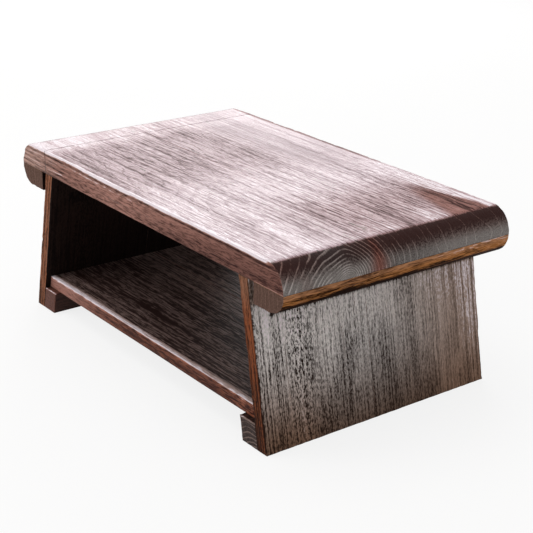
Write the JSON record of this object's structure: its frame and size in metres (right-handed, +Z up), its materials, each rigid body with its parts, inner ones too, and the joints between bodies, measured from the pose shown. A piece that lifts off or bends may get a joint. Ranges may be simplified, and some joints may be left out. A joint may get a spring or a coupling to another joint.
{
  "type": "tea table",
  "caption": "Low floor tea table with a thick plank top with rounded ends, splayed board legs and a loose sliding shelf near the floor.",
  "frame": {"origin": "on the floor, under the middle of the top", "axes": "+X along the length to the right end, +Y from the front edge to the back edge, +Z up"},
  "size_m": [0.6, 0.35, 0.24],
  "materials": {
    "top_wood": "burnt and wire-brushed paulownia, waxed",
    "cleat_wood": "burnt and wire-brushed paulownia, waxed",
    "leg_wood": "burnt and wire-brushed paulownia, waxed",
    "rail_wood": "burnt paulownia, waxed",
    "shelf_wood": "burnt and wire-brushed paulownia, waxed",
    "dowel_wood": "bare beech",
    "screw_steel": "zinc plated"
  },
  "bodies": {
    "frame": {"top_front_board": "top_wood", "top_rear_board": "top_wood", "left_end_board": "top_wood", "left_end_cleat": "cleat_wood", "right_end_cleat": "cleat_wood", "left_leg_front_board": "leg_wood", "left_leg_rear_board": "leg_wood", "right_leg_front_board": "leg_wood", "right_leg_rear_board": "leg_wood", "left_foot_rail": "rail_wood", "right_foot_rail": "rail_wood", "left_leg_dowels": "dowel_wood", "right_leg_dowels": "dowel_wood", "end_board_dowels": "dowel_wood", "left_cleat_screws": "screw_steel", "right_cleat_screws": "screw_steel", "left_rail_screws": "screw_steel", "right_rail_screws": "screw_steel"},
    "shelf": {"shelf_front_board": "shelf_wood", "shelf_rear_board": "shelf_wood"}
  },
  "joints": [
    {"name": "shelf_slide", "type": "slide", "parent": "frame", "child": "shelf", "axis": [0, -1, 0], "range_m": [0, 0.17]}
  ]
}
